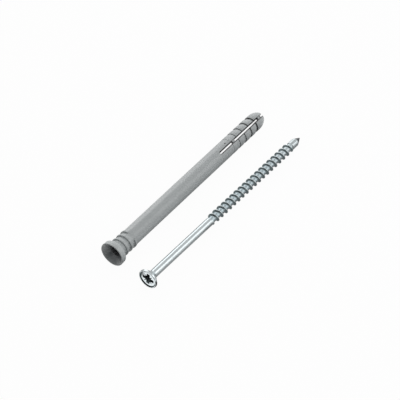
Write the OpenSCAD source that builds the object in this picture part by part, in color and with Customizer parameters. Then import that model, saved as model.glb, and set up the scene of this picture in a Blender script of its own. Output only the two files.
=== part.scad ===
// Hammer fixing, 8 mm: a slotted nylon plug sleeve with a countersunk collar, and the steel hammer screw that
// expands it. The two pieces lie side by side on a flat surface, heads together and tips pointing along +Y.
// Each piece is modelled upright, with z running from its head (z = 0) to its tip, and is then laid down.

/* [Plug body] */
// Outside diameter of the plain body, for a hole of 8 mm
body_d = 7.8; // [7:0.1:9]
// Length from the rim of the collar to the end of the tip
plug_len = 103.5; // [90:0.1:140]

/* [Collar] */
// Outside diameter of the collar at its rim
collar_d = 11.2; // [10.4:0.1:13]
// Draft of the collar band, measured on the radius
collar_draft = 0.1; // [0:0.02:0.2]
// Length of the straight band round the collar
collar_band = 2.4; // [1.5:0.1:3]
// Wall of the lip round the mouth
lip_wall = 0.45; // [0.3:0.05:0.7]
// Chamfer along the outer edge of the rim
rim_chamfer = 0.08; // [0.05:0.01:0.2]

/* [Neck rings] */
// How much deeper the neck under the rings is than the body, measured on the radius
neck_sink = 0.2; // [0.16:0.01:0.3]
// Number of saw-tooth rings round the neck
ring_count = 3; // [2:1:4]
// Distance from one ring to the next
ring_pitch = 2.7; // [2.2:0.1:3.5]
// Height of a ring over the body
ring_rise = 0.32; // [0.2:0.02:0.5]
// Straight crest of a ring
ring_crest = 0.65; // [0.4:0.05:1]
// Slope from the crest down to the body, on the side of the tip
ring_slope = 1.2; // [0.8:0.1:1.2]
// Plain neck between the collar and the first ring
ring_gap = 1; // [0.8:0.1:2]
// Width of the plain strip that interrupts the last ring, front and back
plain_strip_w = 4.4; // [3:0.1:5]

/* [Expansion end] */
// Width of the slot that splits the sleeve, at the surface
slot_w = 1.3; // [1:0.1:1.6]
// Width of the slot on the axis, where the two sides of the mould meet
slot_waist = 0.6; // [0.4:0.1:0.8]
// Length of the slot, which is open at the tip
slot_len = 31.7; // [28:0.1:40]
// Number of barbs behind the nose
barb_count = 4; // [2:1:5]
// Distance from one barb to the next
barb_pitch = 4.3; // [3.6:0.1:5]
// Depth of the deepest step, behind the nose
barb_depth = 0.7; // [0.3:0.01:0.8]
// How fast the steps deepen towards the nose, 1 being evenly
barb_growth = 1.3; // [1:0.1:2]
// Length of the slope that falls to each step
barb_slope = 1.9; // [1:0.1:3]
// Length of one breakable web across the slot
web_len = 1.3; // [0.8:0.1:1.8]
// Distance from the closed end of the slot to the first web
web_from_slot_end = 9.3; // [6:0.1:12]
// Distance from the end of the tip to the web across the nose
web_from_tip = 2.6; // [2.2:0.1:3.2]
// Distance from the end of the tip to the web on the axis
axis_web_from_tip = 0.3; // [0.2:0.1:0.6]
// Depth of an outer web below the surface of the sleeve
web_sink = 0.3; // [0.2:0.05:0.5]
// Thickness of a web, measured on the radius
web_wall = 1.4; // [1:0.1:1.8]

/* [Nose] */
// Largest diameter of the nose
nose_d = 7.64; // [7.2:0.02:7.8]
// Length of the nose
nose_len = 6.5; // [6:0.1:8]
// Straight stretch before the nose rounds in
nose_straight = 1.8; // [0.6:0.1:2.4]
// Flat at the end of the nose
nose_end_d = 4.4; // [3.6:0.1:5]

/* [Bore] */
// Room between the thread of the screw and the bore, all round
bore_clearance = 0.2; // [0.1:0.05:0.3]
// Bore in the expansion end, narrower than the screw
grip_bore_d = 3; // [2.4:0.1:3.4]
// Length of the taper from the wide bore to the narrow one
bore_taper = 6; // [4:0.5:10]

/* [Screw head and shank] */
// How far the screw reaches past the end of the sleeve
screw_reach = 2.1; // [0.5:0.1:4]
// Diameter of the countersunk head
head_d = 8.9; // [8.2:0.1:9.6]
// Straight edge of the head
head_edge = 0.55; // [0.3:0.05:0.8]
// Width of the rounded border of the head face
head_border = 0.6; // [0.3:0.05:0.9]
// Fall of that border from the face to the edge
head_border_fall = 0.35; // [0.1:0.05:0.4]
// Included angle of the head cone and of the seat in the collar
cone_angle = 90; // [80:1:100]
// Diameter of the plain shank
shank_d = 3.64; // [3.4:0.02:4]
// Length of the head and plain shank
shank_len = 41.4; // [35:0.1:45]
// Radius of the fillet under the head
neck_fillet = 0.8; // [0.4:0.1:1.2]

/* [Screw thread] */
// Outside diameter of the thread
thread_d = 4.8; // [4.4:0.05:5]
// Core diameter of the thread
core_d = 3; // [2.8:0.05:3.2]
// Pitch of the right-hand thread
pitch = 2.92; // [2.6:0.02:3.4]
// Width of the thread ridge at its foot
ridge_foot = 1.5; // [1.2:0.05:1.8]
// Width of the thread ridge at its crest
ridge_crest = 0.26; // [0.15:0.01:0.4]
// Turns over which the thread rises out of the shank
run_in_turns = 0.55; // [0.4:0.05:1]
// Turns over which the thread fades towards the point
run_out_turns = 0.9; // [0.6:0.05:1.5]

/* [Screw point] */
// Diameter of the plain guide ahead of the thread
guide_d = 3.7; // [3.4:0.05:4]
// Length of the plain guide
guide_len = 3.8; // [3.4:0.1:4.4]
// Length of the cone at the point
point_len = 3.4; // [2.5:0.05:4.5]
// Blunt end of the point
point_end_d = 0.3; // [0.2:0.05:0.5]

/* [Cross recess] */
// Span of the wings at the face
recess_span = 5.6; // [4.6:0.1:5.8]
// Width of a wing
wing_w = 1.4; // [0.8:0.05:1.6]
// Depth of the recess
recess_depth = 2.6; // [2:0.1:3]
// Core diameter at the face
recess_core_d = 3; // [2.2:0.1:3.2]
// Width of the tick marks between the wings
tick_w = 0.3; // [0.2:0.05:0.5]

/* [How the pieces lie] */
// Free space between the collar and the screw head
lay_gap = 9.15; // [5:0.05:20]
// How far the screw head lies ahead of the collar rim
head_lead = 1.05; // [0:0.05:5]
// Angle by which the two axes spread towards the tips
axis_spread = 0.67; // [0:0.01:3]
// Roll of the sleeve that turns its slot from straight up towards the screw
sleeve_roll = 28; // [0:1:60]
// Roll of the recess from straight up
recess_roll = 2.4; // [0:0.1:45]

/* [Hidden] */
$fn = 64;

// Sectors that one turn of the thread is divided into
sectors = 24;
// Overlap that keeps cuts and joins clean
over = 0.5;

body_r = body_d / 2;
neck_r = body_r - neck_sink;
collar_r = collar_d / 2;
mouth_r = collar_r - lip_wall;
bore_r = thread_d / 2 + bore_clearance;
grip_r = grip_bore_d / 2;
cone_slope = 1 / tan(cone_angle / 2);

// Places along the sleeve
band_r = collar_r - collar_draft;
collar_len = collar_band + (band_r - neck_r) * cone_slope;
cup_depth = (mouth_r - bore_r) * cone_slope;
slot_z = plug_len - slot_len;
nose_z = plug_len - nose_len;
nose_r = nose_d / 2;
nose_end_r = nose_end_d / 2;
round_z = nose_z + nose_straight;
round_drop = nose_r - nose_end_r;
round_r = ((plug_len - round_z) ^ 2 + round_drop ^ 2) / (2 * round_drop);

// Places along the screw
screw_len = plug_len + screw_reach;
head_r = head_d / 2;
shank_r = shank_d / 2;
head_edge_z = head_border_fall + head_edge;
head_len = head_edge_z + (head_r - shank_r) * cone_slope;
core_r = core_d / 2;
thread_r = thread_d / 2;
guide_r = guide_d / 2;
point_z = screw_len - point_len;
guide_z = point_z - guide_len;

// The thread is one sweep of whole turns whose ends are buried in the shank and in the guide
thread_cap_z0 = shank_len - ridge_foot;
thread_cap_z1 = point_z - over / 2;
thread_turns = floor((thread_cap_z1 - ridge_foot - shank_len) / pitch);
fade_end = min((guide_z + over - shank_len) / pitch, thread_turns);
fade_start = fade_end - run_out_turns;

// Resting on a flat surface: the sleeve on its collar and on its nose or last barb, whichever comes down first,
// and the screw on its head and last full crest
nose_droop = atan((collar_r - nose_r) / (round_z - rim_chamfer));
barb_droop = atan((collar_r - body_r) / (nose_z - barb_slope - rim_chamfer));
sleeve_droop = min(nose_droop, barb_droop);
sleeve_h = collar_r * cos(sleeve_droop) + rim_chamfer * sin(sleeve_droop);
rest_turn = floor(fade_start - 0.5) + 0.5;
rest_z = shank_len + rest_turn * pitch + ridge_crest / 2;
screw_droop = atan((head_r - thread_r) / (rest_z - head_edge_z));
screw_h = head_r * cos(screw_droop) + head_edge_z * sin(screw_droop);
screw_x = collar_r + lay_gap + head_r;

// The origin is under the middle of the box round both pieces
function rim_reach(r, run) = r * sqrt(1 - run ^ 2);
sleeve_run = cos(sleeve_droop);
screw_run = cos(screw_droop) * cos(axis_spread);
box_x0 = -collar_r;
screw_drift = cos(screw_droop) * sin(axis_spread);
box_x1 = screw_x + head_edge_z * screw_drift + rim_reach(head_r, screw_drift);
box_y0 = min(-rim_reach(collar_r - rim_chamfer, sleeve_run),
             -head_lead - rim_reach(head_r - head_border, screw_run));
box_y1 = max(plug_len * sleeve_run + rim_reach(nose_end_r, sleeve_run),
             screw_len * screw_run - head_lead + rim_reach(point_end_d / 2, screw_run));
box_x = (box_x0 + box_x1) / 2;
box_y = (box_y0 + box_y1) / 2;

// Lays an upright piece down along +Y, with its head at (x, y) and its axis at height h there
module lay(x, y, h, droop, spread, roll) {
    translate([x - box_x, y - box_y, h])
        rotate([0, 0, -spread])
            rotate([-droop, 0, 0])
                rotate([-90, -90, 0])
                    rotate([0, 0, roll])
                        children();
}

// One saw-tooth ring as a half section: steep on the side of the head, sloping away to the radius foot_r
module ring_section(z, foot_r) {
    polygon([
        [neck_r - over, z],
        [body_r + ring_rise, z],
        [body_r + ring_rise, z + ring_crest],
        [foot_r, z + ring_crest + ring_slope],
        [neck_r - over, z + ring_crest + ring_slope]
    ]);
}

function ring_z(i) = collar_len + ring_gap + i * ring_pitch;
last_ring_z = ring_z(ring_count - 1);
neck_len = last_ring_z + ring_crest + ring_slope;
function barb_z(i) = nose_z - (barb_count - i) * barb_pitch;
function barb_crest(i) = i == barb_count ? nose_r : body_r;
function barb_root(i) = barb_crest(i) - barb_depth * ((i + 1) / (barb_count + 1)) ^ barb_growth;

// Half section of the outside of the sleeve, with a ramp from the neck to the body in place of the last ring
module sleeve_outside() {
    polygon(concat(
        [
            [0, 0],
            [collar_r - rim_chamfer, 0],
            [collar_r, rim_chamfer],
            [band_r, collar_band],
            [neck_r, collar_len],
            [neck_r, last_ring_z],
            [body_r, neck_len]
        ],
        [
            for (i = [0:barb_count])
                each [[body_r, barb_z(i) - barb_slope], [barb_root(i), barb_z(i)], [barb_crest(i), barb_z(i)]]
        ],
        [
            [nose_r, round_z],
            [0, round_z]
        ]
    ));
    for (i = [0:ring_count - 2])
        ring_section(ring_z(i), neck_r);
    intersection() {
        translate([nose_r - round_r, round_z])
            circle(round_r, $fn = 256);
        translate([0, round_z - over])
            square([nose_r, plug_len - round_z + over]);
    }
}

// Half section of the seat for the screw head, the bore and its narrow end
module sleeve_inside() {
    polygon([
        [0, -over],
        [mouth_r + over / cone_slope, -over],
        [bore_r, cup_depth],
        [bore_r, slot_z - bore_taper],
        [grip_r, slot_z],
        [grip_r, nose_z],
        [0, nose_z + grip_r]
    ]);
}

// The slot that splits the expansion end, narrowing from both surfaces to its waist on the axis
module slot() {
    half_waist = slot_waist / 2;
    half_w = slot_w - half_waist;
    translate([0, 0, slot_z])
        linear_extrude(slot_len + over)
            polygon([
                [-body_d, -half_w],
                [0, -half_waist],
                [body_d, -half_w],
                [body_d, half_w],
                [0, half_waist],
                [-body_d, half_w]
            ]);
}

// A web across the slot, whose outer face lies at x
module web(x, z) {
    translate([x - web_wall, -slot_w / 2, z])
        cube([web_wall, slot_w, web_len]);
}

module plug_sleeve() {
    nose_web_z = plug_len - web_from_tip - web_len;
    nose_web_r = nose_r - round_r + sqrt(round_r ^ 2 - (nose_web_z + web_len - round_z) ^ 2);
    color("#b3b9bd")
        lay(0, 0, sleeve_h, sleeve_droop, 0, sleeve_roll)
            difference() {
                union() {
                    difference() {
                        rotate_extrude()
                            sleeve_outside();
                        slot();
                    }
                    web(barb_root(1) - web_sink, slot_z + web_from_slot_end);
                    web(nose_web_r - web_sink, nose_web_z);
                    web(web_wall / 2, plug_len - axis_web_from_tip - web_len);
                    difference() {
                        rotate_extrude()
                            ring_section(last_ring_z, body_r);
                        translate([-body_d, -plain_strip_w / 2, last_ring_z - over])
                            cube([2 * body_d, plain_strip_w, ring_pitch + over]);
                    }
                }
                rotate_extrude()
                    sleeve_inside();
            }
}

// Cross recess with tick marks: four tapering wings, a stepped core and a tick between each pair of wings
module cross_recess() {
    wing_r = recess_span / 2;
    wing_foot_r = wing_r / 2;
    core_face_r = recess_core_d / 2;
    core_foot_r = core_face_r / 2;
    rise = over / recess_depth;
    intersection() {
        translate([0, 0, -over])
            cylinder(h = recess_depth + over, r1 = wing_r + wing_foot_r * rise, r2 = wing_foot_r);
        union()
            for (turn = [0, 90])
                rotate([0, 0, turn])
                    translate([-wing_r - over, -wing_w / 2, -over])
                        cube([recess_span + 2 * over, wing_w, recess_depth + over]);
    }
    translate([0, 0, -over])
        cylinder(h = recess_depth + over, r1 = core_face_r + core_foot_r * rise, r2 = core_foot_r);
    translate([0, 0, recess_depth - over / 4])
        cylinder(h = core_foot_r, r1 = core_foot_r, r2 = 0);
    for (turn = [45:90:315])
        rotate([0, 0, turn])
            translate([core_face_r - over, 0, 0])
                rotate([45, 0, 0])
                    translate([0, -tick_w / 2, -tick_w / 2])
                        cube([wing_r - core_face_r + over / 2, tick_w, tick_w]);
}

// Head and shank as one half section, with a fillet where the cone meets the shank
module head_and_shank() {
    fillet_angle = cone_angle / 2;
    fillet_run = neck_fillet * tan((90 - fillet_angle) / 2);
    polygon([
        [0, 0],
        [head_r - head_border, 0],
        [head_r - head_border / 2, head_border_fall / 3],
        [head_r, head_border_fall],
        [head_r, head_edge_z],
        [shank_r, head_len],
        [shank_r, shank_len],
        [core_r - over / 4, shank_len + over],
        [0, shank_len + over]
    ]);
    difference() {
        polygon([
            [shank_r - over / 2, head_len - fillet_run],
            [shank_r + fillet_run * sin(fillet_angle), head_len - fillet_run * cos(fillet_angle)],
            [shank_r, head_len + fillet_run],
            [shank_r - over / 2, head_len + fillet_run]
        ]);
        translate([shank_r + neck_fillet, head_len + fillet_run])
            circle(neck_fillet, $fn = 96);
    }
}

// Plain guide and cone at the point, as a half section
module guide_and_point() {
    polygon([
        [0, guide_z],
        [core_r - over / 4, guide_z],
        [guide_r, guide_z + over],
        [guide_r, point_z],
        [point_end_d / 2, screw_len],
        [0, screw_len]
    ]);
}

// Height of the thread ridge, from 0 to 1, after so many turns
function ridge_rise(turn) = max(0, min(1, turn / run_in_turns, (fade_end - turn) / run_out_turns));

// Corners of the thread section: foot, crest, crest, foot, as [offset along the axis, share of the height]
ridge_corners = [
    [-ridge_foot / 2, 0],
    [-ridge_crest / 2, 1],
    [ridge_crest / 2, 1],
    [ridge_foot / 2, 0]
];
corners = len(ridge_corners);

function polar(r, sector, z) = [r * cos(360 * sector / sectors), r * sin(360 * sector / sectors), z];

function thread_point(sector, i) =
    let (turn = floor(i / corners) + sector / sectors)
    let (corner = ridge_corners[i % corners])
    let (r = core_r + (thread_r - core_r) * corner[1] * ridge_rise(turn))
    polar(r, sector, shank_len + turn * pitch + corner[0]);

// Right-hand thread and its core: columns of corners, sector by sector, each column joined to the next one
module thread() {
    column = thread_turns * corners;
    height = column + 2;
    points = [
        for (sector = [0:sectors - 1])
            each concat(
                [polar(core_r, sector, thread_cap_z0)],
                [for (i = [0:column - 1]) thread_point(sector, i)],
                [polar(core_r, sector, thread_cap_z1)]
            )
    ];
    last = (sectors - 1) * height;
    function quad(a, b, c, d) = [[a, b, c], [a, c, d]];
    sides = [
        for (sector = [0:sectors - 2])
            for (i = [0:height - 2])
                each quad(sector * height + i, sector * height + i + 1,
                          (sector + 1) * height + i + 1, (sector + 1) * height + i)
    ];
    // Across the seam the last sector meets the first one a whole turn further on
    seam = [for (i = [1:column - corners - 1]) each quad(last + i, last + i + 1, i + corners + 1, i + corners)];
    seam_start = concat([[0, last, last + 1]], [for (i = [0:corners]) [i, last + 1, i + 1]]);
    seam_end = concat(
        [for (i = [column - corners:column]) [last + i, last + i + 1, column]],
        [[last + column + 1, column + 1, column]]
    );
    cap_start = [for (sector = [1:sectors - 2]) [0, sector * height, (sector + 1) * height]];
    cap_end = [
        for (sector = [1:sectors - 2])
            [height - 1, (sector + 2) * height - 1, (sector + 1) * height - 1]
    ];
    polyhedron(points, concat(sides, seam, seam_start, seam_end, cap_start, cap_end));
}

module hammer_screw() {
    color("#c9d2d6")
        lay(screw_x, -head_lead, screw_h, screw_droop, axis_spread, 0)
            union() {
                difference() {
                    rotate_extrude()
                        head_and_shank();
                    rotate([0, 0, recess_roll])
                        cross_recess();
                }
                thread();
                rotate_extrude()
                    guide_and_point();
            }
}

plug_sleeve();
hammer_screw();
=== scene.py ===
import math

import bmesh
import bpy
from mathutils import Matrix, Vector


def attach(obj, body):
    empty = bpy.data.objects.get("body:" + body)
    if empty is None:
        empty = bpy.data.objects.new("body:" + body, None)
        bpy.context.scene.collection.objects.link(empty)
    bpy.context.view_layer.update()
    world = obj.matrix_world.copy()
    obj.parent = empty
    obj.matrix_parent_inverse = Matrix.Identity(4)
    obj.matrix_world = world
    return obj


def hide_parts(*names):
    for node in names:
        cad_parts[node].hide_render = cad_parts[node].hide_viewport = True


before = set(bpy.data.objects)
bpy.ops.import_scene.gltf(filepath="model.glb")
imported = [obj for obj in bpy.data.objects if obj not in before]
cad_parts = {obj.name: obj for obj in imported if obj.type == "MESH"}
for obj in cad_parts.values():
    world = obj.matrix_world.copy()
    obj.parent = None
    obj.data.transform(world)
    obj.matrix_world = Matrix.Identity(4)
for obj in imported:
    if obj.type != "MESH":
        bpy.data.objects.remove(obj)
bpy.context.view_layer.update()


# Plug sleeve
# One injection moulding in light grey nylon. The collar seats the screw head, the neck rings stop it
# turning in the fixed part, and the slotted, barbed end spreads in the wall when the screw is
# hammered in.
mm = 0.001
overrun = 1
plug_len = 103.5
sleeve_facets = 160
body_r = 3.9
neck_r = 3.7
collar_r = 5.6
band_r = 5.5
collar_band = 2.4
collar_len = collar_band + band_r - neck_r
mouth_r = 5.15
bore_r = 2.6
bore_taper = 6
seat_depth = mouth_r - bore_r
grip_r = 1.5
ring_starts = (5.2, 7.9, 10.6)
ring_height = 0.32
ring_crest_r = body_r + ring_height
ring_crest = 0.65
ring_slope = 1.2
neck_len = ring_starts[-1] + ring_crest + ring_slope
plain_strip_w = 4.4
slot_z = 71.8
slot_w = 1.3
slot_waist = 0.42
slot_half_w = slot_w - slot_waist / 2
web_places = ((3.387, 81.1), (3.225, 99.6), (0.7, 101.9))
web_depth = 1.4
web_len = 1.3
gate_z = 77.4
gate_turn = math.radians(-26)
gate_r = 0.24
gate_foot_r = gate_r * 0.8
gate_depth = 0.25
barb_count = 4
barb_pitch = 4.3
barb_slope = 1.9
barb_depth = 0.7
barb_growth = 1.3
nose_z = 97
nose_r = 3.82
nose_end_r = 2.2
nose_steps = 8
round_z = 98.8
round_drop = nose_r - nose_end_r
round_r = ((plug_len - round_z) ** 2 + round_drop ** 2) / (2 * round_drop)
sleeve_head = (-9.0301, -51.6885, 5.6005)
sleeve_droop = 1.025
sleeve_roll = 28


def draw_profile(name, corners):
    """Draws a half section by extruding one vertex from corner to corner, each (radius, height)."""
    bpy.ops.object.select_all(action="DESELECT")
    bpy.ops.mesh.primitive_plane_add(size=mm)
    piece = bpy.context.object
    piece.name = name
    bpy.ops.object.mode_set(mode="EDIT")
    bpy.ops.mesh.select_mode(type="VERT")
    bpy.ops.mesh.select_all(action="SELECT")
    bpy.ops.mesh.merge(type="CENTER")
    r, z = corners[0]
    bpy.ops.transform.translate(value=(r * mm, 0, z * mm))
    for (r0, z0), (r1, z1) in zip(corners, corners[1:]):
        step = ((r1 - r0) * mm, 0, (z1 - z0) * mm)
        bpy.ops.mesh.extrude_region_move(TRANSFORM_OT_translate={"value": step})
    bpy.ops.object.mode_set(mode="OBJECT")
    return piece


def weld(gap):
    """Merges the corners that lie closer than the gap, all over the piece in edit mode."""
    bpy.ops.mesh.select_all(action="SELECT")
    bpy.ops.mesh.remove_doubles(threshold=gap * mm)


def turn_profile(name, corners, facets):
    """Draws a half section and spins it round the z axis into a closed piece."""
    piece = draw_profile(name, corners)
    bpy.ops.object.mode_set(mode="EDIT")
    bpy.ops.mesh.select_all(action="SELECT")
    bpy.ops.mesh.spin(steps=facets, angle=math.tau, center=(0, 0, 0), axis=(0, 0, 1))
    weld(0.001)
    bpy.ops.mesh.normals_make_consistent(inside=False)
    bpy.ops.object.mode_set(mode="OBJECT")
    return piece


def round_rings(piece, radius, segments, places):
    """Rounds the ring edges that lie at the given (radius, height) places of a turned piece."""
    bpy.ops.object.mode_set(mode="EDIT")
    bpy.ops.mesh.select_mode(type="EDGE")
    bpy.ops.mesh.select_all(action="DESELECT")
    edit = bmesh.from_edit_mesh(piece.data)
    for edge in edit.edges:
        ends = [(math.hypot(v.co.x, v.co.y) / mm, v.co.z / mm) for v in edge.verts]
        edge.select_set(any(all(math.dist(end, place) < 0.01 for end in ends) for place in places))
    bmesh.update_edit_mesh(piece.data)
    bpy.ops.mesh.bevel(offset=radius * mm, segments=segments, profile=0.5, affect="EDGES",
                       clamp_overlap=True)
    bpy.ops.object.mode_set(mode="OBJECT")


def block(name, low, high):
    """A box between two corners, used as a cutting tool."""
    bpy.ops.object.select_all(action="DESELECT")
    middle = [(a + b) / 2 * mm for a, b in zip(low, high)]
    size = [(b - a) * mm for a, b in zip(low, high)]
    bpy.ops.mesh.primitive_cube_add(size=1, location=middle, scale=size)
    bpy.ops.object.transform_apply(location=True, rotation=True, scale=True)
    bpy.context.object.name = name
    return bpy.context.object


def cone(name, r1, z1, r2, z2):
    """A round cone or frustum between two heights, used as a tool."""
    bpy.ops.object.select_all(action="DESELECT")
    bpy.ops.mesh.primitive_cone_add(vertices=64, radius1=r1 * mm, radius2=r2 * mm,
                                    depth=(z2 - z1) * mm, location=(0, 0, (z1 + z2) / 2 * mm))
    bpy.ops.object.transform_apply(location=True, rotation=True, scale=True)
    bpy.context.object.name = name
    return bpy.context.object


def carve(piece, tool, operation):
    """Cuts, joins or intersects a piece with a tool, which is used up, and cleans the seam."""
    bpy.ops.object.select_all(action="DESELECT")
    bpy.context.view_layer.objects.active = piece
    piece.select_set(True)
    bpy.ops.object.modifier_add(type="BOOLEAN")
    change = piece.modifiers[-1]
    change.operation = operation
    change.solver = "EXACT"
    change.object = tool
    bpy.ops.object.modifier_apply(modifier=change.name)
    bpy.data.objects.remove(tool)
    bpy.ops.object.mode_set(mode="EDIT")
    weld(0.002)
    bpy.ops.mesh.dissolve_degenerate(threshold=0.0005 * mm)
    bpy.ops.object.mode_set(mode="OBJECT")


def lay_down(piece, head, droop, spread, roll):
    """Lays an upright piece along +Y with its head at a place, in its mesh, and returns how."""
    bpy.ops.object.select_all(action="DESELECT")
    bpy.context.view_layer.objects.active = piece
    piece.select_set(True)
    place = (
        Matrix.Translation(Vector(head) * mm)
        @ Matrix.Rotation(math.radians(-spread), 4, "Z")
        @ Matrix.Rotation(math.radians(-droop), 4, "X")
        @ Matrix.Rotation(math.radians(-90), 4, "Y")
        @ Matrix.Rotation(math.radians(-90), 4, "X")
        @ Matrix.Rotation(math.radians(roll), 4, "Z")
    )
    piece.matrix_world = place
    bpy.ops.object.transform_apply(location=True, rotation=True, scale=True)
    bpy.ops.object.shade_smooth_by_angle(angle=math.radians(32))
    return place


inner = [(0, nose_z + grip_r), (grip_r, nose_z), (grip_r, slot_z), (bore_r, slot_z - bore_taper),
         (bore_r, seat_depth), (mouth_r, 0)]
collar = [(collar_r, 0), (band_r, collar_band), (neck_r, collar_len)]
rings = []
for z in ring_starts:
    foot = body_r if z == ring_starts[-1] else neck_r
    rings += [(neck_r, z), (ring_crest_r, z), (ring_crest_r, z + ring_crest),
              (foot, z + ring_crest + ring_slope)]
barbs = []
barb_crests = []
for i in range(barb_count + 1):
    z = nose_z - (barb_count - i) * barb_pitch
    crest = nose_r if i == barb_count else body_r
    step = barb_depth * ((i + 1) / (barb_count + 1)) ** barb_growth
    barbs += [(body_r, z - barb_slope), (crest - step, z), (crest, z)]
    barb_crests.append((crest, z))
nose = []
nose_turn = math.asin((plug_len - round_z) / round_r)
for i in range(nose_steps + 1):
    turn = nose_turn * i / nose_steps
    nose.append((nose_r - round_r + round_r * math.cos(turn), round_z + round_r * math.sin(turn)))
sleeve = turn_profile("plug_sleeve_moulding",
                      inner + collar + rings + barbs + nose + [(0, plug_len)], sleeve_facets)

# The first barb is too low to be rounded
for radius, segments, places in (
        (0.12, 3, [(mouth_r, 0), (collar_r, 0)]),
        (0.25, 3, [(band_r, collar_band), (neck_r, collar_len), (bore_r, seat_depth)]),
        (0.1, 3, [(ring_crest_r, z) for z in ring_starts]),
        (0.12, 2, [(ring_crest_r, z + ring_crest) for z in ring_starts]),
        (0.05, 2, barb_crests[1:]),
        (0.2, 3, [(nose_end_r, plug_len)])):
    round_rings(sleeve, radius, segments, places)

# The last ring is interrupted front and back by a plain strip that ramps from neck to body
for vertex in sleeve.data.vertices:
    r = math.hypot(vertex.co.x, vertex.co.y)
    share = (vertex.co.z / mm - ring_starts[-1]) / (neck_len - ring_starts[-1])
    ramp_r = (neck_r + (body_r - neck_r) * share) * mm
    if -0.001 < share < 1 and r > ramp_r and abs(vertex.co.y) < plain_strip_w / 2 * mm:
        vertex.co.x *= ramp_r / r
        vertex.co.y *= ramp_r / r
bpy.ops.object.mode_set(mode="EDIT")
weld(0.001)
bpy.ops.object.mode_set(mode="OBJECT")

# The two sides of the mould meet in the middle, so the slot narrows from both surfaces to its waist,
# and thin webs are left across it
slot_tool = block("slot_tool", (-2 * body_r, -slot_half_w, slot_z),
                  (2 * body_r, slot_half_w, plug_len + overrun))
bpy.ops.object.mode_set(mode="EDIT")
bpy.ops.mesh.select_all(action="SELECT")
bpy.ops.mesh.bisect(plane_co=(0, 0, 0), plane_no=(1, 0, 0))
bpy.ops.object.mode_set(mode="OBJECT")
for vertex in slot_tool.data.vertices:
    if abs(vertex.co.x) < 0.01 * mm:
        vertex.co.y *= slot_waist / 2 / slot_half_w
for outer_face, z in web_places:
    web_tool = block("web_tool", (outer_face - web_depth, -overrun, z),
                     (outer_face, overrun, z + web_len))
    carve(slot_tool, web_tool, "DIFFERENCE")
carve(sleeve, slot_tool, "DIFFERENCE")

# A small pit beside the slot, taken as the place where the runner of the mould broke off
gate_tool = cone("gate_tool", gate_foot_r, body_r - gate_depth, gate_r, body_r + gate_depth)
gate_tool.rotation_euler = (0, math.radians(90), gate_turn)
gate_tool.location.z = gate_z * mm
carve(sleeve, gate_tool, "DIFFERENCE")

sleeve_place = lay_down(sleeve, sleeve_head, sleeve_droop, 0, sleeve_roll)
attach(sleeve, "root")
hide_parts("plug_sleeve")


def finish_of(piece, name):
    """Gives a piece one new material and returns its node tree and its Principled shader."""
    material = bpy.data.materials.new(name)
    material.use_nodes = True
    material.cycles.emission_sampling = "NONE"
    piece.data.materials.clear()
    piece.data.materials.append(material)
    return material.node_tree, material.node_tree.nodes["Principled BSDF"]


def feed(tree, value, socket):
    """Links a socket to an input, or sets the input to a number or a colour."""
    if isinstance(value, bpy.types.NodeSocket):
        tree.links.new(value, socket)
    else:
        socket.default_value = (*value, 1) if isinstance(value, tuple) else value


def add_math(tree, operation, first, second=0):
    """One Math node of a finish, whose two inputs are sockets or numbers."""
    made = tree.nodes.new("ShaderNodeMath")
    made.operation = operation
    feed(tree, first, made.inputs[0])
    feed(tree, second, made.inputs[1])
    return made.outputs[0]


def add_product(tree, mask, *others):
    """Multiplies masks, which leaves the places that lie in all of them."""
    for other in others:
        mask = add_math(tree, "MULTIPLY", mask, other)
    return mask


def add_range(tree, value, low, high, to_low, to_high):
    """Maps a value from one range to another and stops at its ends."""
    made = tree.nodes.new("ShaderNodeMapRange")
    tree.links.new(value, made.inputs["Value"])
    for name, number in (("From Min", low), ("From Max", high),
                         ("To Min", to_low), ("To Max", to_high)):
        made.inputs[name].default_value = number
    return made.outputs["Result"]


def above(tree, value, start, whole):
    """A mask that fades in as a value grows."""
    return add_range(tree, value, start, whole, 0, 1)


def below(tree, value, start, gone):
    """A mask that fades out as a value grows."""
    return add_range(tree, value, start, gone, 1, 0)


def add_tint(tree, share, first, second):
    """Mixes two colours, each a socket or a colour, by a share."""
    made = tree.nodes.new("ShaderNodeMix")
    made.data_type = "RGBA"
    tree.links.new(share, made.inputs["Factor"])
    feed(tree, first, made.inputs[6])
    feed(tree, second, made.inputs[7])
    return made.outputs[2]


def own_millimetres(tree, place):
    """Where a point lies on the upright piece, in millimetres, z running from its head to its tip:
    the place as a vector, its x, y and z, and its distance from the axis."""
    where = tree.nodes.new("ShaderNodeTexCoord")
    upright = tree.nodes.new("ShaderNodeMapping")
    upright.vector_type = "TEXTURE"
    upright.inputs["Location"].default_value = place.to_translation()
    upright.inputs["Rotation"].default_value = place.to_euler()
    upright.inputs["Scale"].default_value = (mm, mm, mm)
    tree.links.new(where.outputs["Object"], upright.inputs["Vector"])
    sides = tree.nodes.new("ShaderNodeSeparateXYZ")
    tree.links.new(upright.outputs["Vector"], sides.inputs["Vector"])
    squares = [add_math(tree, "POWER", sides.outputs[name], 2) for name in ("X", "Y")]
    from_axis = add_math(tree, "SQRT", add_math(tree, "ADD", *squares))
    return upright.outputs["Vector"], *sides.outputs, from_axis


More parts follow.
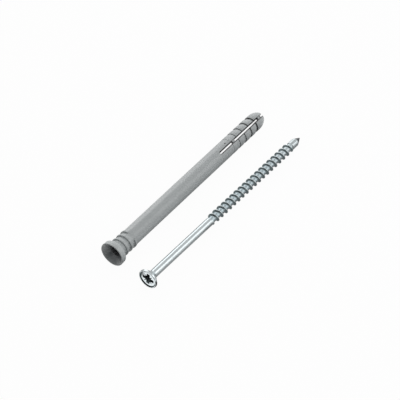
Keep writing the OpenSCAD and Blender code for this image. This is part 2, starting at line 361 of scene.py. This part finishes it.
def make_grain_group():
    """Patches, fine grain and lengthwise lines that both finishes use, from a place in millimetres."""
    group = bpy.data.node_groups.new("surface_grain", "ShaderNodeTree")
    group.interface.new_socket("Place", in_out="INPUT", socket_type="NodeSocketVector")
    group.interface.new_socket("Patch size", in_out="INPUT", socket_type="NodeSocketFloat")
    group.interface.new_socket("Line stretch", in_out="INPUT", socket_type="NodeSocketFloat")
    for name in ("Patches", "Grain", "Lines"):
        group.interface.new_socket(name, in_out="OUTPUT", socket_type="NodeSocketFloat")
    given = group.nodes.new("NodeGroupInput")
    made = group.nodes.new("NodeGroupOutput")
    coarse = add_math(group, "DIVIDE", 1, given.outputs["Patch size"])
    fine = add_math(group, "MULTIPLY", coarse, 8)
    stretch = group.nodes.new("ShaderNodeCombineXYZ")
    stretch.inputs["X"].default_value = 1
    stretch.inputs["Y"].default_value = 1
    group.links.new(given.outputs["Line stretch"], stretch.inputs["Z"])
    long_place = group.nodes.new("ShaderNodeVectorMath")
    long_place.operation = "DIVIDE"
    group.links.new(given.outputs["Place"], long_place.inputs[0])
    group.links.new(stretch.outputs["Vector"], long_place.inputs[1])
    for name, place, scale, detail in (("Patches", given.outputs["Place"], coarse, 3),
                                       ("Grain", given.outputs["Place"], fine, 2),
                                       ("Lines", long_place.outputs["Vector"], fine, 2)):
        noise = group.nodes.new("ShaderNodeTexNoise")
        noise.inputs["Detail"].default_value = detail
        group.links.new(place, noise.inputs["Vector"])
        group.links.new(scale, noise.inputs["Scale"])
        group.links.new(noise.outputs["Fac"], made.inputs[name])
    return group


def add_grain(tree, place, patch_size, line_stretch):
    """Places the shared grain in a finish and returns its outputs."""
    grain = tree.nodes.new("ShaderNodeGroup")
    grain.node_tree = grain_group
    tree.links.new(place, grain.inputs["Place"])
    grain.inputs["Patch size"].default_value = patch_size
    grain.inputs["Line stretch"].default_value = line_stretch
    return grain.outputs


def add_bump(tree, shader, height, distance, strength):
    """Lifts a surface by a height and feeds the normal to its shader."""
    bump = tree.nodes.new("ShaderNodeBump")
    bump.inputs["Distance"].default_value = distance * mm
    bump.inputs["Strength"].default_value = strength
    tree.links.new(height, bump.inputs["Height"])
    tree.links.new(bump.outputs["Normal"], shader.inputs["Normal"])


# Cloudy grey with paler flow lines. The other tints are fitted to the light and shade of the
# photograph: paler on the collar, and darker along the slot, mostly on one side, in the cup and the
# bore, under the barbs and at the gate. Each fade is where a tint comes or goes.
grey = (0.408, 0.434, 0.438)
light_grey = (0.44, 0.468, 0.472)
flow_grey = (0.475, 0.5, 0.502)
collar_painted_light = (0.53, 0.56, 0.563)
slot_painted_shade = (0.07, 0.072, 0.072)
cup_painted_shade = (0.042, 0.048, 0.066)
bore_painted_shade = (0.2, 0.202, 0.21)
step_painted_shade = (0.07, 0.074, 0.074)
gate_painted_shade = (0.05, 0.045, 0.04)
slot_flare = (slot_w - slot_waist) / 2 / body_r
slot_edge_fade = (0.2, 0.42)
slot_edge_ratio = 4
collar_fade = (2, 3.6)
cup_fade = (0, 2.4)
bore_fade = (1.8, 3.4)
step_fade = (0.06, 0.32)
steps_from = -18
steps_to = 0.5
gate_fade = (gate_r + 0.04, gate_r + 0.1)

grain_group = make_grain_group()
tree, nylon = finish_of(sleeve, "grey_nylon")
place, x, y, depth, radius = own_millimetres(tree, sleeve_place)
grain = add_grain(tree, place, patch_size=2.6, line_stretch=14)

# Painted shade along the slot walls and edges, wider on one side of the slot
wall_y = add_math(tree, "MULTIPLY", add_math(tree, "ABSOLUTE", x), slot_flare)
from_wall = add_math(tree, "SUBTRACT", add_math(tree, "ABSOLUTE", y), wall_y)
from_wall = add_math(tree, "SUBTRACT", from_wall, slot_waist / 2)
margin = add_math(tree, "MULTIPLY", from_wall, add_range(tree, y, -0.1, 0.1, slot_edge_ratio, 1))
painted_shade_in_slot = add_product(tree, above(tree, from_wall, -0.06, -0.02),
                      below(tree, margin, *slot_edge_fade),
                      above(tree, depth, slot_z - 0.05, slot_z))
# Painted light: the collar is made paler than the rest of the sleeve
painted_light_on_collar = add_range(tree, depth, *collar_fade, 0.7, 0)
# Painted shade in the cup, darker deeper in
cup_edge = add_math(tree, "ADD", radius, depth)
painted_shade_in_cup = add_product(tree, below(tree, cup_edge, mouth_r + 0.05, mouth_r + 0.15),
                     add_range(tree, depth, *cup_fade, 0.1, 0.75))
# Painted shade down the bore
painted_shade_in_bore = add_product(tree, below(tree, radius, bore_r + 0.02, bore_r + 0.15),
                      above(tree, depth, *bore_fade))
# Painted shade on the barb steps, from the first barbs to the nose
from_nose = add_math(tree, "SUBTRACT", depth, nose_z)
from_step = add_math(tree, "PINGPONG", from_nose, barb_pitch / 2)
painted_shade_on_steps = add_product(tree, below(tree, from_step, *step_fade),
                      below(tree, radius, nose_r - 0.1, nose_r - 0.02),
                      add_range(tree, from_nose, steps_from, steps_from + 1, 0, 0.95),
                      below(tree, from_nose, steps_to, steps_to + 0.5))
# Painted shade in the gate pit
from_gate = tree.nodes.new("ShaderNodeVectorMath")
from_gate.operation = "DISTANCE"
from_gate.inputs[1].default_value = (body_r * math.cos(gate_turn), body_r * math.sin(gate_turn),
                                     gate_z)
tree.links.new(place, from_gate.inputs[0])
painted_shade_in_gate = below(tree, from_gate.outputs["Value"], *gate_fade)

colour = add_tint(tree, above(tree, grain["Patches"], 0.3, 0.7), grey, light_grey)
in_flow = add_range(tree, grain["Lines"], 0.35, 0.75, 0, 0.5)
for share, tint in ((in_flow, flow_grey), (painted_shade_in_slot, slot_painted_shade), (painted_light_on_collar, collar_painted_light),
                    (painted_shade_in_cup, cup_painted_shade), (painted_shade_in_bore, bore_painted_shade), (painted_shade_on_steps, step_painted_shade),
                    (painted_shade_in_gate, gate_painted_shade)):
    colour = add_tint(tree, share, colour, tint)
tree.links.new(colour, nylon.inputs["Base Color"])
nylon.inputs["Specular IOR Level"].default_value = 0.8
tree.links.new(add_range(tree, grain["Grain"], 0.25, 0.75, 0.26, 0.36), nylon.inputs["Roughness"])
height = add_math(tree, "ADD", grain["Grain"], grain["Lines"])
add_bump(tree, nylon, height, distance=0.01, strength=0.2)


# Hammer screw
# Cold-headed steel wire with a bright, slightly blue zinc plate. The head is countersunk with a cross
# recess, the shank is plain, and the coarse rolled thread runs out into a plain guide with a turned
# point.
screw_len = 105.6
screw_facets = 96
head_r = 4.44
head_dish = 0.45
dish_r = 3.55
rim_in_r = 4.05
rim_out_r = 4.25
rim_z = 0.02
rim_fall_z = 0.25
rim_round = 0.08
head_edge_z = 0.9
head_fillet = 0.35
shank_r = 1.82
head_len = head_edge_z + head_r - shank_r
shank_len = 41.4
core_r = 1.5
inside_core_r = core_r - 0.12
shank_lap = 0.5
guide_r = 1.85
guide_z = 98.4
guide_lead = 0.5
point_z = 102.2
point_round = 0.3
point_end_r = 0.15
wing_r = 2.88
wing_foot_r = wing_r / 2
wing_w = 1.75
wing_foot_w = 1.3
wing_reach = 4
recess_depth = 2.6
recess_core_r = 1.72
recess_foot_r = recess_core_r / 2
recess_over = 0.5
recess_rise = recess_over / recess_depth
recess_gap = 0.01
foot_lap = 0.12
foot_len = 0.5
recess_roll = 2.4
tick_w = 0.3
tick_in_r = recess_core_r - 0.5
tick_out_r = wing_r - 0.25
axis_gap = 19.2
head_lead = 1.05
screw_head = (axis_gap + sleeve_head[0], sleeve_head[1] - head_lead, 4.46844)
screw_droop = 1.24076
screw_spread = 0.67

screw = turn_profile("hammer_screw_steel", [
    (0, head_dish), (dish_r, head_dish), (rim_in_r, rim_z), (rim_out_r, rim_z),
    (head_r, rim_fall_z), (head_r, head_edge_z), (shank_r, head_len),
    (shank_r, shank_len), (inside_core_r, shank_len + shank_lap), (0, shank_len + shank_lap)],
    screw_facets)
round_rings(screw, head_fillet, 4, [(shank_r, head_len)])
round_rings(screw, rim_round, 3,
            [(rim_in_r, rim_z), (rim_out_r, rim_z), (head_r, rim_fall_z), (head_r, head_edge_z)])

# The recess is punched into the dish: two pairs of drafted wings, a round core with a short point, and
# a tick between each two wings
wings = block("recess_wings", (-wing_reach, -wing_w / 2, -recess_over),
              (wing_reach, wing_w / 2, recess_depth))
wings_across = block("recess_wings_across", (-wing_w / 2, -wing_reach, -recess_over),
                     (wing_w / 2, wing_reach, recess_depth))
for tool, side in ((wings, 1), (wings_across, 0)):
    for vertex in tool.data.vertices:
        if vertex.co.z > 0:
            vertex.co[side] *= wing_foot_w / wing_w
carve(wings, wings_across, "UNION")
carve(wings, cone("recess_taper", wing_r + wing_foot_r * recess_rise, -recess_over,
                  wing_foot_r, recess_depth), "INTERSECT")
carve(wings, cone("recess_core", recess_core_r + recess_foot_r * recess_rise, -recess_over,
                  recess_foot_r, recess_depth - recess_gap), "UNION")
carve(wings, cone("recess_foot", recess_foot_r, recess_depth - foot_lap,
                  0, recess_depth + foot_len), "UNION")
wings.rotation_euler = (0, 0, math.radians(recess_roll))
wings.location.z = head_dish * mm
carve(screw, wings, "DIFFERENCE")
for turn in (45, 135, 225, 315):
    tick = block("recess_tick", (tick_in_r, -tick_w / 2, -tick_w / 2),
                 (tick_out_r, tick_w / 2, tick_w / 2))
    tick.rotation_euler = (math.radians(45), 0, math.radians(turn + recess_roll))
    tick.location.z = head_dish * mm
    carve(screw, tick, "DIFFERENCE")

# One pitch of the rolled thread as (place along the pitch, share of the height), swept into a helix
# that rises out of the shank and fades before the guide
thread_r = 2.4
pitch = 2.92
ridge = [(-1.46, 0), (-0.84, 0), (-0.73, 0.05), (-0.62, 0.2), (-0.21, 0.88), (-0.14, 0.97), (-0.06, 1),
         (0.06, 1), (0.14, 0.97), (0.21, 0.88), (0.62, 0.2), (0.73, 0.05), (0.84, 0), (1.46, 0)]
first_turn = -1
last_turn = 21
turn_steps = 64
run_in = 0.55
run_out = 1.4
fade_end = 20.3
thread_start_z = shank_len - 1.4
thread_end_z = point_z - 0.25
sweep_z = shank_len + first_turn * pitch
thread = draw_profile("thread", [
    (core_r + (thread_r - core_r) * share, sweep_z + along) for along, share in ridge])
bpy.ops.object.modifier_add(type="SCREW")
sweep = thread.modifiers[-1]
sweep.axis = "Z"
sweep.angle = math.tau
sweep.screw_offset = pitch * mm
sweep.iterations = last_turn - first_turn
sweep.steps = turn_steps
sweep.render_steps = turn_steps
sweep.use_merge_vertices = True
sweep.merge_threshold = 0.001 * mm
bpy.ops.object.modifier_apply(modifier=sweep.name)
for vertex in thread.data.vertices:
    x, y, z = vertex.co / mm
    angle = math.atan2(y, x) / math.tau % 1
    turn = round((z - shank_len) / pitch - angle) + angle
    rise = max(0, min(1, turn / run_in, (fade_end - turn) / run_out))
    rise = rise * rise * (3 - 2 * rise)
    r = math.hypot(x, y)
    shrink = (core_r + (r - core_r) * rise) / r
    vertex.co.x *= shrink
    vertex.co.y *= shrink

# The sweep is cut square inside the shank and inside the point, and closed before they are joined
bpy.ops.object.mode_set(mode="EDIT")
weld(0.0005)
for end_z, way in ((thread_start_z, -1), (thread_end_z, 1)):
    bpy.ops.mesh.select_all(action="SELECT")
    bpy.ops.mesh.bisect(plane_co=(0, 0, end_z * mm), plane_no=(0, 0, way), clear_outer=True,
                        threshold=0.00001 * mm)
bpy.ops.mesh.select_all(action="SELECT")
bpy.ops.mesh.fill_holes(sides=0)
bpy.ops.mesh.select_all(action="SELECT")
bpy.ops.mesh.normals_make_consistent(inside=False)
bpy.ops.object.mode_set(mode="OBJECT")
carve(screw, thread, "UNION")

point = turn_profile("screw_point", [
    (0, guide_z), (inside_core_r, guide_z), (guide_r, guide_z + guide_lead), (guide_r, point_z),
    (point_end_r, screw_len), (0, screw_len)], screw_facets)
round_rings(point, point_round, 3, [(guide_r, point_z)])
carve(screw, point, "UNION")

screw_place = lay_down(screw, screw_head, screw_droop, screw_spread, 0)
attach(screw, "root")
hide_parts("hammer_screw")

# Bright plate on the head, the shank and the thread's crests. The tints are fitted to the light and
# shade of the photograph: bluer in the roots of the thread, and darker on its flanks, on the guide and
# the point, on the slope of the dish and inside the recess.
zinc_grey = (0.585, 0.64, 0.655)
zinc_light = (0.66, 0.71, 0.725)
root_painted_reflection = (0.46, 0.54, 0.57)
flank_painted_reflection = (0.325, 0.41, 0.425)
guide_painted_shade = (0.38, 0.42, 0.43)
point_painted_shade = (0.09, 0.1, 0.105)
slope_painted_reflection = (0.03, 0.045, 0.045)
recess_painted_shade = (0.07, 0.085, 0.09)
recess_slope = 0.54
recess_fade = (3.19, 3.29)
root_fade = (1.55, 1.75)
blue_fade = (80, 96)
flank_foot = (1.6, 1.8)
flank_top = (2.28, 2.38)
guide_fade = (guide_z, guide_z + guide_lead)
point_fade = (point_z + 0.1, point_z + 0.9)

tree, zinc = finish_of(screw, "bright_zinc")
zinc.inputs["Metallic"].default_value = 1
place, _, _, depth, radius = own_millimetres(tree, screw_place)
grain = add_grain(tree, place, patch_size=1.6, line_stretch=30)

# Painted shade inside the recess; the same mask also makes it rougher
recess_edge = add_math(tree, "ADD", radius, add_math(tree, "MULTIPLY", depth, recess_slope))
in_recess = add_product(tree, below(tree, recess_edge, *recess_fade),
                        above(tree, depth, head_dish + 0.03, head_dish + 0.12))
in_root = add_product(tree, below(tree, radius, *root_fade),
                      above(tree, depth, shank_len, shank_len + 1))
# Painted reflection: darker, bluer roots of the thread, weaker towards the point
painted_reflection_in_roots = add_product(tree, in_root, add_range(tree, depth, *blue_fade, 1, 0.35))
# Painted dark reflection on the thread's flanks
painted_reflection_on_flanks = add_product(tree, above(tree, radius, *flank_foot), below(tree, radius, *flank_top),
                       above(tree, depth, shank_len + 0.5, shank_len + 1.5),
                       below(tree, depth, *guide_fade))
# Painted shade on the guide
painted_shade_on_guide = add_range(tree, depth, *guide_fade, 0, 0.45)
# Painted shade on the point
painted_shade_at_point = above(tree, depth, *point_fade)
# Painted dark reflection: a ring on the slope of the dish
painted_reflection_on_slope = add_product(tree, above(tree, radius, dish_r - 0.08, dish_r + 0.02),
                       below(tree, radius, rim_in_r - 0.06, rim_in_r + 0.02),
                       below(tree, depth, head_dish + 0.05, head_dish + 0.15))

colour = add_tint(tree, above(tree, grain["Patches"], 0.3, 0.7), zinc_grey, zinc_light)
for share, tint in ((painted_reflection_in_roots, root_painted_reflection), (painted_reflection_on_flanks, flank_painted_reflection), (painted_shade_on_guide, guide_painted_shade),
                    (painted_shade_at_point, point_painted_shade), (painted_reflection_on_slope, slope_painted_reflection), (in_recess, recess_painted_shade)):
    colour = add_tint(tree, share, colour, tint)
tree.links.new(colour, zinc.inputs["Base Color"])

satin = add_range(tree, grain["Lines"], 0.3, 0.7, 0.16, 0.26)
rolled = add_range(tree, depth, shank_len - 1, shank_len + 1, 0, 0.08)
root_dull = add_math(tree, "MULTIPLY", in_root, 0.12)
recess_dull = add_math(tree, "MULTIPLY", in_recess, 0.5)
satin = add_math(tree, "ADD", add_math(tree, "ADD", satin, rolled), root_dull)
tree.links.new(add_math(tree, "MAXIMUM", satin, recess_dull), zinc.inputs["Roughness"])
add_bump(tree, zinc, grain["Lines"], distance=0.006, strength=0.3)


# Studio
# A pale floor in a white room, under two soft boxes. Cards and mats that the camera doesn't see stand
# and lie round the pieces, because bright metal needs something dark to reflect. Lamps and cards are
# placed in metres.
matt_tone = 0.4
pale_tone = 0.9
pale_glow = 0.96
room_front = 0.24
room_back = 1.12
mat_lift = 0.02


def seen_rays(tree):
    """One for what is seen, straight, mirrored or through glass, and zero for light on the pieces."""
    paths = tree.nodes.new("ShaderNodeLightPath")
    seen = add_math(tree, "MAXIMUM", paths.outputs["Is Camera Ray"], paths.outputs["Is Glossy Ray"])
    return add_math(tree, "MAXIMUM", seen, paths.outputs["Is Transmission Ray"])


def add_mixed(tree, share, first, second):
    """Mixes two shaders by a share, which is a socket or a number."""
    made = tree.nodes.new("ShaderNodeMixShader")
    feed(tree, share, made.inputs[0])
    tree.links.new(first.outputs[0], made.inputs[1])
    tree.links.new(second.outputs[0], made.inputs[2])
    return made


bpy.ops.object.select_all(action="DESELECT")
bpy.ops.mesh.primitive_plane_add(size=4)
floor = bpy.context.object
floor.name = "floor"
tree, paint = finish_of(floor, "floor_paint")
tree.nodes.remove(paint)
matt = tree.nodes.new("ShaderNodeBsdfDiffuse")
matt.inputs["Color"].default_value = (matt_tone, matt_tone, matt_tone, 1)
shaded = tree.nodes.new("ShaderNodeBsdfDiffuse")
shaded.inputs["Color"].default_value = (pale_tone, pale_tone, pale_tone, 1)
pale = add_mixed(tree, pale_glow, shaded, tree.nodes.new("ShaderNodeEmission"))
mixed = add_mixed(tree, seen_rays(tree), matt, pale)
tree.links.new(mixed.outputs[0], tree.nodes["Material Output"].inputs["Surface"])

scene = bpy.context.scene
scene.world = bpy.data.worlds.new("studio")
scene.world.use_nodes = True
tree = scene.world.node_tree
room = tree.nodes["Background"]
room.inputs["Color"].default_value = (1, 1, 1, 1)
white = tree.nodes.new("ShaderNodeBackground")
white.inputs["Color"].default_value = (1, 1, 1, 1)
ways = tree.nodes.new("ShaderNodeTexCoord")
way = tree.nodes.new("ShaderNodeSeparateXYZ")
tree.links.new(ways.outputs["Generated"], way.inputs["Vector"])
room_tone = add_range(tree, way.outputs["Y"], -0.6, 0.4, room_front, room_back)
tree.links.new(room_tone, room.inputs["Strength"])
mixed = add_mixed(tree, seen_rays(tree), room, white)
tree.links.new(mixed.outputs[0], tree.nodes["World Output"].inputs["Surface"])


def card(name, place, size, facing, tone):
    """A card of an even tone that only reflections and shadows show."""
    bpy.ops.object.select_all(action="DESELECT")
    bpy.ops.mesh.primitive_plane_add(size=1)
    made = bpy.context.object
    made.name = name
    made.scale = (*size, 1)
    made.rotation_euler = Vector(facing).to_track_quat("Z", "Y").to_euler()
    made.location = place
    made.visible_camera = False
    board, paint = finish_of(made, name + "_board")
    board.nodes.remove(paint)
    glow = board.nodes.new("ShaderNodeEmission")
    glow.inputs["Color"].default_value = (tone, tone, tone, 1)
    board.links.new(glow.outputs[0], board.nodes["Material Output"].inputs["Surface"])
    return made


def soft_box(name, place, size, radiance):
    """A wide soft box aimed at the pieces, as bright as its radiance says, with a black back."""
    data = bpy.data.lights.new(name, "AREA")
    data.shape = "RECTANGLE"
    data.size, data.size_y = size
    data.energy = radiance * math.pi * size[0] * size[1]
    lamp = bpy.data.objects.new(name, data)
    scene.collection.objects.link(lamp)
    lamp.location = place
    lamp.rotation_euler = (-Vector(place)).to_track_quat("-Z", "Y").to_euler()
    lamp.visible_camera = False
    card(name + "_back", Vector(place) * 1.04, size, -Vector(place), 0)


def mat(name, low, high, tone):
    """A card on the floor between two corners in millimetres, which shows only in reflections, where
    it paints the floor round the pieces at its own tone.
    """
    middle = [(a + b) / 2 * mm for a, b in zip(low, high)]
    size = [(b - a) * mm for a, b in zip(low, high)]
    made = card(name, (*middle, mat_lift * mm), size, (0, 0, 1), tone)
    made.visible_diffuse = False
    made.visible_shadow = False


soft_box("soft_box_left", (-0.66, 0.5, 0.4), (0.75, 0.75), 1.65)
soft_box("soft_box_right", (0.54, 0.5, 0.52), (0.5, 0.75), 1.6)
card("card_front", (0.0, -0.5, 0.18), (1.5, 0.36), (0, 1, 0), 0.03)
card("card_right", (0.75, 0.45, 0.16), (0.9, 0.32), (-1, 0, 0), 0.7)
card("card_ceiling", (-0.07, 0.46, 0.7), (0.92, 0.7), (0, -0.55, -0.84), 0.68)
# The dark mats are painted shade in the metal's reflections, where the floor round the pieces lies in
# their shade; the face mat is a painted bright reflection for the head's face
mat("mat_plug", (-7, -45), (3, 52), 0.25)
mat("mat_thread", (10, -13), (40, 44), 0.24)
mat("mat_point", (10, 44), (40, 75), 0.35)
mat("mat_shank", (10, -46), (40, -13), 0.4)
mat("mat_head_left", (-6, -57), (4.5, -45), 0.05)
mat("mat_under_head", (4.5, -53), (13.5, -46), 0.05)
mat("mat_front_left", (-40, -80), (0, -60), 0.05)
mat("mat_face", (4.5, -60), (13.5, -53), 1.3)
mat("mat_head_right", (13.5, -64), (40, -46), 0.05)


# Camera
# The view of the photograph: from the side of the heads, raised, with a long lens. The focal length is
# given in pixels of the picture.
view_turn = math.radians(36.62)
view_rise = math.radians(46.78)
view_roll = math.radians(0.48)
view_aim = (-1.965, -1.0768, 0)
view_distance = 888.5
focal_px = 2102.07
picture_px = 400
sensor_w = 36
back = Vector((math.sin(view_turn) * math.cos(view_rise), -math.cos(view_turn) * math.cos(view_rise),
               math.sin(view_rise)))
right = Vector((math.cos(view_turn), math.sin(view_turn), 0))
up = back.cross(right)
rolled_right = right * math.cos(view_roll) + up * math.sin(view_roll)
rolled_up = up * math.cos(view_roll) - right * math.sin(view_roll)
camera = bpy.data.objects.new("camera", bpy.data.cameras.new("camera"))
scene.collection.objects.link(camera)
camera.data.sensor_width = sensor_w
camera.data.lens = focal_px / picture_px * sensor_w
camera.matrix_world = Matrix.Translation((Vector(view_aim) + back * view_distance) * mm) @ Matrix(
    (rolled_right, rolled_up, back)).transposed().to_4x4()
scene.camera = camera
scene.view_settings.view_transform = "Standard"
